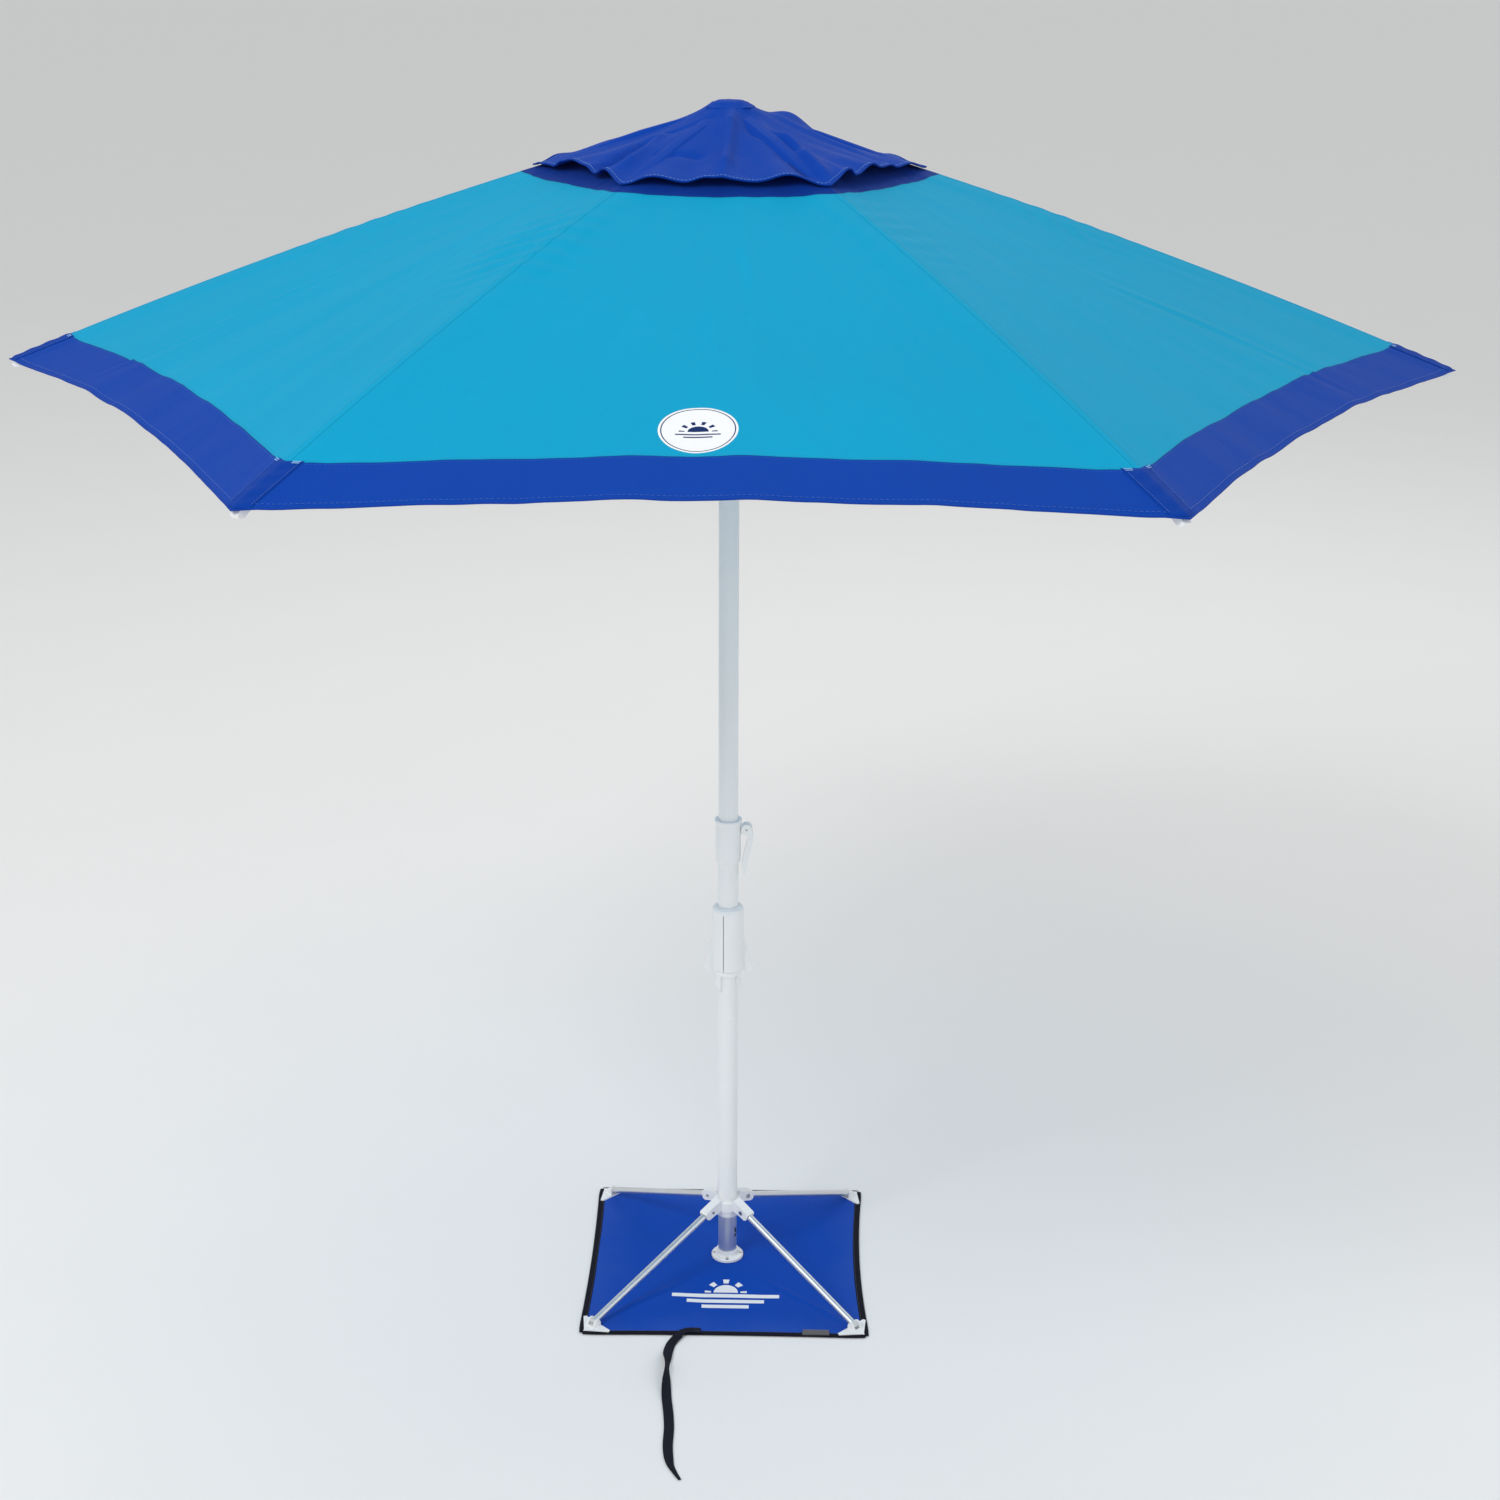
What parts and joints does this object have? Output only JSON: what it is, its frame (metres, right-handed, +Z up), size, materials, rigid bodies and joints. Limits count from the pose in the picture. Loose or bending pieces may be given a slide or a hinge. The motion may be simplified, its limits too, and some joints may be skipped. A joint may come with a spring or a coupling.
{
  "type": "beach umbrella",
  "caption": "Beach umbrella with a vented hexagonal canopy, a telescoping pole with a cam lock, and a fold-out base whose legs spread a square ground sheet.",
  "frame": {"origin": "on the pole's axis, at the ground", "axes": "+Z up along the pole; two opposite canopy corners lie along +X and -X, a flat side of the canopy faces -Y (the front), and the cam lever points to +X"},
  "size_m": [2.5, 2.165, 2.212],
  "materials": {
    "white_tube": "white powder coat",
    "white_plastic": "white moulded plastic, satin",
    "aluminium": "bare drawn tube",
    "steel": "zinc-plated",
    "rib_rod": "white glass-fibre rod",
    "canopy_cloth": "turquoise and royal blue woven polyester",
    "sheet_cloth": "royal blue woven polyester, slightly coated",
    "black_webbing": "flat woven webbing",
    "black_hook": "hook-and-loop tape"
  },
  "bodies": {
    "base": {"foot_disc": "white_plastic", "sheet_centre": "sheet_cloth", "flange": "white_plastic", "flange_rivets": "steel", "stub_tube": "aluminium", "stub_pin": "steel", "hub": "white_plastic", "leg_axles": "steel", "base_pole": "white_tube", "coupler_sleeve": "white_plastic"},
    "winged_collar": {"winged_collar": "white_plastic"},
    "lower_pole": {"lower_pole": "white_tube", "cam_collar": "white_plastic", "cam_pin": "steel"},
    "cam_lever": {"cam_lever": "white_plastic"},
    "upper_pole": {"upper_pole": "white_tube", "top_hub": "white_plastic", "rib_hinge_pins": "steel", "finial": "white_plastic"},
    "latch_button": {"latch_button": "white_plastic"},
    "runner": {"runner": "white_plastic", "strut_hinge_pins": "steel"},
    "rib_1": {"rib_1": "rib_rod", "rib_tip_1": "white_plastic", "canopy_1": "canopy_cloth"},
    "strut_1": {"strut_1": "rib_rod"},
    "rib_2": {"rib_2": "rib_rod", "rib_tip_2": "white_plastic", "canopy_2": "canopy_cloth"},
    "strut_2": {"strut_2": "rib_rod"},
    "rib_3": {"rib_3": "rib_rod", "rib_tip_3": "white_plastic", "canopy_3": "canopy_cloth"},
    "strut_3": {"strut_3": "rib_rod"},
    "rib_4": {"rib_4": "rib_rod", "rib_tip_4": "white_plastic", "canopy_4": "canopy_cloth"},
    "strut_4": {"strut_4": "rib_rod"},
    "rib_5": {"rib_5": "rib_rod", "rib_tip_5": "white_plastic", "canopy_5": "canopy_cloth"},
    "strut_5": {"strut_5": "rib_rod"},
    "rib_6": {"rib_6": "rib_rod", "rib_tip_6": "white_plastic", "canopy_6": "canopy_cloth"},
    "strut_6": {"strut_6": "rib_rod"},
    "leg_1": {"leg_1": "aluminium"},
    "corner_1": {"corner_bracket_1": "white_plastic"},
    "panel_1": {"sheet_panel_1": "sheet_cloth", "storage_strap": "black_webbing", "hook_patch": "black_hook"},
    "leg_2": {"leg_2": "aluminium"},
    "corner_2": {"corner_bracket_2": "white_plastic"},
    "panel_2": {"sheet_panel_2": "sheet_cloth"},
    "leg_3": {"leg_3": "aluminium"},
    "corner_3": {"corner_bracket_3": "white_plastic"},
    "panel_3": {"sheet_panel_3": "sheet_cloth"},
    "leg_4": {"leg_4": "aluminium"},
    "corner_4": {"corner_bracket_4": "white_plastic"},
    "panel_4": {"sheet_panel_4": "sheet_cloth"}
  },
  "joints": [
    {"name": "mast_lift", "type": "slide", "parent": "base", "child": "lower_pole", "axis": [0, 0, 1], "range_m": [0, 0.07]},
    {"name": "telescope", "type": "slide", "parent": "lower_pole", "child": "upper_pole", "axis": [0, 0, 1], "range_m": [-0.32, 0]},
    {"name": "cam_lever_open", "type": "hinge", "parent": "lower_pole", "child": "cam_lever", "pos_m": [0.034, 0, 0.913], "axis": [0, -1, 0], "range_deg": [0, 110]},
    {"name": "winged_collar_turn", "type": "hinge", "parent": "base", "child": "winged_collar", "pos_m": [0, 0, 0.7], "axis": [0, 0, 1], "range_deg": [0, 60]},
    {"name": "latch_spring_out", "type": "slide", "parent": "upper_pole", "child": "latch_button", "axis": [1, 0, 0], "range_m": [0, 0.0035], "stiffness_N_per_m": 600, "springref_m": 0.005},
    {"name": "canopy_fold", "type": "hinge", "parent": "upper_pole", "child": "rib_1", "pos_m": [0.037, 0, 2.183], "axis": [0, 1, 0], "range_deg": [0, 65.64], "deforming": ["canopy_1"]},
    {"name": "strut_1_fold", "type": "hinge", "parent": "rib_1", "child": "strut_1", "pos_m": [0.41664, 0, 2.05701], "axis": [0, 1, 0], "range_deg": [-131.28, 0]},
    {"name": "rib_2_fold", "type": "hinge", "parent": "upper_pole", "child": "rib_2", "pos_m": [0.0185, 0.03204, 2.183], "axis": [-0.866, 0.5, 0], "range_deg": [0, 65.64], "deforming": ["canopy_2"]},
    {"name": "strut_2_fold", "type": "hinge", "parent": "rib_2", "child": "strut_2", "pos_m": [0.20832, 0.36082, 2.05701], "axis": [-0.866, 0.5, 0], "range_deg": [-131.28, 0]},
    {"name": "rib_3_fold", "type": "hinge", "parent": "upper_pole", "child": "rib_3", "pos_m": [-0.0185, 0.03204, 2.183], "axis": [-0.866, -0.5, 0], "range_deg": [0, 65.64], "deforming": ["canopy_3"]},
    {"name": "strut_3_fold", "type": "hinge", "parent": "rib_3", "child": "strut_3", "pos_m": [-0.20832, 0.36082, 2.05701], "axis": [-0.866, -0.5, 0], "range_deg": [-131.28, 0]},
    {"name": "rib_4_fold", "type": "hinge", "parent": "upper_pole", "child": "rib_4", "pos_m": [-0.037, 0, 2.183], "axis": [0, -1, 0], "range_deg": [0, 65.64], "deforming": ["canopy_4"]},
    {"name": "strut_4_fold", "type": "hinge", "parent": "rib_4", "child": "strut_4", "pos_m": [-0.41664, 0, 2.05701], "axis": [0, -1, 0], "range_deg": [-131.28, 0]},
    {"name": "rib_5_fold", "type": "hinge", "parent": "upper_pole", "child": "rib_5", "pos_m": [-0.0185, -0.03204, 2.183], "axis": [0.866, -0.5, 0], "range_deg": [0, 65.64], "deforming": ["canopy_5"]},
    {"name": "strut_5_fold", "type": "hinge", "parent": "rib_5", "child": "strut_5", "pos_m": [-0.20832, -0.36082, 2.05701], "axis": [0.866, -0.5, 0], "range_deg": [-131.28, 0]},
    {"name": "rib_6_fold", "type": "hinge", "parent": "upper_pole", "child": "rib_6", "pos_m": [0.0185, -0.03204, 2.183], "axis": [0.866, 0.5, 0], "range_deg": [0, 65.64], "deforming": ["canopy_6"]},
    {"name": "strut_6_fold", "type": "hinge", "parent": "rib_6", "child": "strut_6", "pos_m": [0.20832, -0.36082, 2.05701], "axis": [0.866, 0.5, 0], "range_deg": [-131.28, 0]},
    {"name": "runner_ride", "type": "hinge", "parent": "strut_1", "child": "runner", "pos_m": [0.037, 0, 1.93101], "axis": [0, 1, 0], "range_deg": [0, 65.64]},
    {"name": "leg_fold", "type": "hinge", "parent": "base", "child": "leg_1", "pos_m": [0.03323, 0.03323, 0.127], "axis": [-0.7071, 0.7071, 0], "range_deg": [0, 66]},
    {"name": "corner_1_tilt", "type": "hinge", "parent": "leg_1", "child": "corner_1", "pos_m": [0.24395, 0.24395, 0.012], "axis": [-0.7071, 0.7071, 0], "range_deg": [0, 20]},
    {"name": "leg_2_fold", "type": "hinge", "parent": "base", "child": "leg_2", "pos_m": [-0.03323, 0.03323, 0.127], "axis": [-0.7071, -0.7071, 0], "range_deg": [0, 66]},
    {"name": "corner_2_tilt", "type": "hinge", "parent": "leg_2", "child": "corner_2", "pos_m": [-0.24395, 0.24395, 0.012], "axis": [-0.7071, -0.7071, 0], "range_deg": [0, 20]},
    {"name": "leg_3_fold", "type": "hinge", "parent": "base", "child": "leg_3", "pos_m": [-0.03323, -0.03323, 0.127], "axis": [0.7071, -0.7071, 0], "range_deg": [0, 66]},
    {"name": "corner_3_tilt", "type": "hinge", "parent": "leg_3", "child": "corner_3", "pos_m": [-0.24395, -0.24395, 0.012], "axis": [0.7071, -0.7071, 0], "range_deg": [0, 20]},
    {"name": "leg_4_fold", "type": "hinge", "parent": "base", "child": "leg_4", "pos_m": [0.03323, -0.03323, 0.127], "axis": [0.7071, 0.7071, 0], "range_deg": [0, 66]},
    {"name": "corner_4_tilt", "type": "hinge", "parent": "leg_4", "child": "corner_4", "pos_m": [0.24395, -0.24395, 0.012], "axis": [0.7071, 0.7071, 0], "range_deg": [0, 20]},
    {"name": "sheet_1_fold", "type": "hinge", "parent": "base", "child": "panel_1", "pos_m": [0, -0.0333, 0.0088], "axis": [1, 0, 0], "range_deg": [0, 90], "deforming": ["sheet_panel_1"]},
    {"name": "sheet_2_fold", "type": "hinge", "parent": "base", "child": "panel_2", "pos_m": [0.0333, 0, 0.0088], "axis": [0, 1, 0], "range_deg": [0, 90], "deforming": ["sheet_panel_2"]},
    {"name": "sheet_3_fold", "type": "hinge", "parent": "base", "child": "panel_3", "pos_m": [0, 0.0333, 0.0088], "axis": [-1, 0, 0], "range_deg": [0, 90], "deforming": ["sheet_panel_3"]},
    {"name": "sheet_4_fold", "type": "hinge", "parent": "base", "child": "panel_4", "pos_m": [-0.0333, 0, 0.0088], "axis": [0, -1, 0], "range_deg": [0, 90], "deforming": ["sheet_panel_4"]}
  ],
  "couplings": [
    {"joint": "strut_1_fold", "follows": "canopy_fold", "ratio": -2},
    {"joint": "rib_2_fold", "follows": "canopy_fold", "ratio": 1},
    {"joint": "strut_2_fold", "follows": "canopy_fold", "ratio": -2},
    {"joint": "rib_3_fold", "follows": "canopy_fold", "ratio": 1},
    {"joint": "strut_3_fold", "follows": "canopy_fold", "ratio": -2},
    {"joint": "rib_4_fold", "follows": "canopy_fold", "ratio": 1},
    {"joint": "strut_4_fold", "follows": "canopy_fold", "ratio": -2},
    {"joint": "rib_5_fold", "follows": "canopy_fold", "ratio": 1},
    {"joint": "strut_5_fold", "follows": "canopy_fold", "ratio": -2},
    {"joint": "rib_6_fold", "follows": "canopy_fold", "ratio": 1},
    {"joint": "strut_6_fold", "follows": "canopy_fold", "ratio": -2},
    {"joint": "runner_ride", "follows": "canopy_fold", "ratio": 1},
    {"joint": "corner_1_tilt", "follows": "leg_fold", "ratio": 0.30303},
    {"joint": "leg_2_fold", "follows": "leg_fold", "ratio": 1},
    {"joint": "corner_2_tilt", "follows": "leg_fold", "ratio": 0.30303},
    {"joint": "leg_3_fold", "follows": "leg_fold", "ratio": 1},
    {"joint": "corner_3_tilt", "follows": "leg_fold", "ratio": 0.30303},
    {"joint": "leg_4_fold", "follows": "leg_fold", "ratio": 1},
    {"joint": "corner_4_tilt", "follows": "leg_fold", "ratio": 0.30303},
    {"joint": "sheet_1_fold", "follows": "leg_fold", "ratio": 1.3636},
    {"joint": "sheet_2_fold", "follows": "leg_fold", "ratio": 1.3636},
    {"joint": "sheet_3_fold", "follows": "leg_fold", "ratio": 1.3636},
    {"joint": "sheet_4_fold", "follows": "leg_fold", "ratio": 1.3636}
  ]
}
